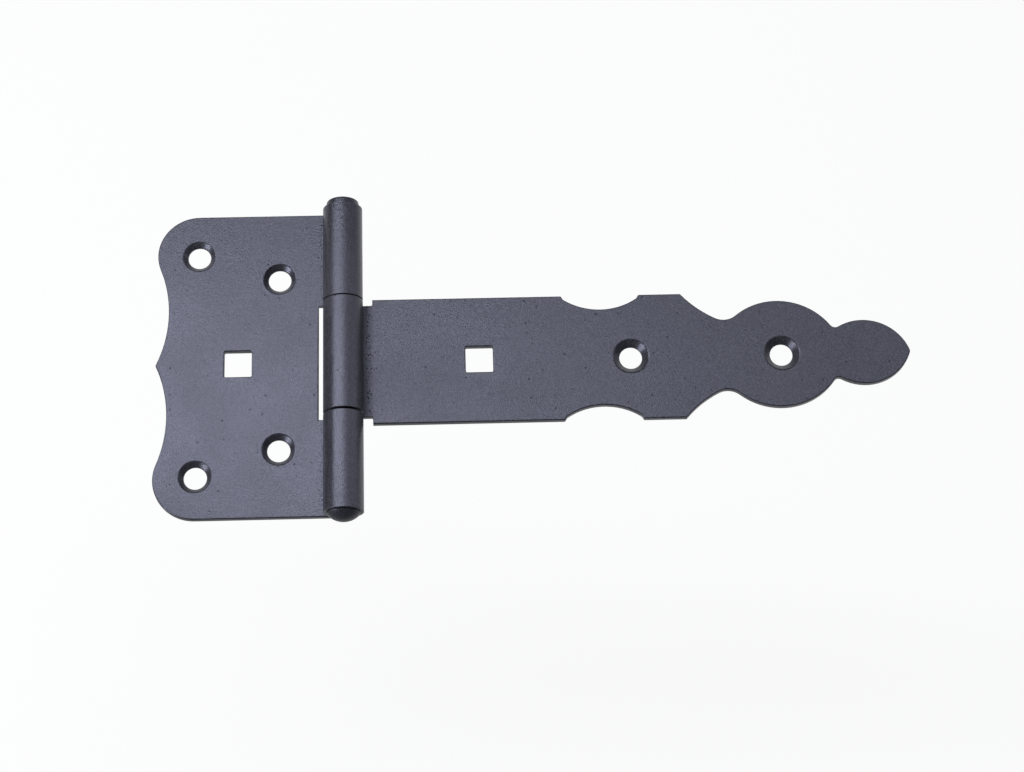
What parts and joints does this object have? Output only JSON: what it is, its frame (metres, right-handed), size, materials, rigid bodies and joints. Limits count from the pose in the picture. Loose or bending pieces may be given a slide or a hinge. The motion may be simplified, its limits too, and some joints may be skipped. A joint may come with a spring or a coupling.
{
  "type": "hinge",
  "caption": "Flat T hinge of black sheet steel: a square leaf with a scalloped edge and a long ornamental strap, rolled round a riveted pin.",
  "frame": {"origin": "on the plane of both backs, straight below the middle of the pin", "axes": "+X along the strap to its tip, +Y along the pin, +Z out of the front, where the barrel stands"},
  "size_m": [0.1994, 0.0903, 0.0105],
  "materials": {
    "black_powder_coat": "fine satin black powder coat on steel"
  },
  "bodies": {
    "leaf": {"leaf": "black_powder_coat", "pin": "black_powder_coat"},
    "strap": {"strap": "black_powder_coat"}
  },
  "joints": [
    {"name": "strap_swing", "type": "hinge", "parent": "leaf", "child": "strap", "pos_m": [0, 0, 0.00525], "axis": [0, -1, 0], "range_deg": [-95, 180]}
  ]
}
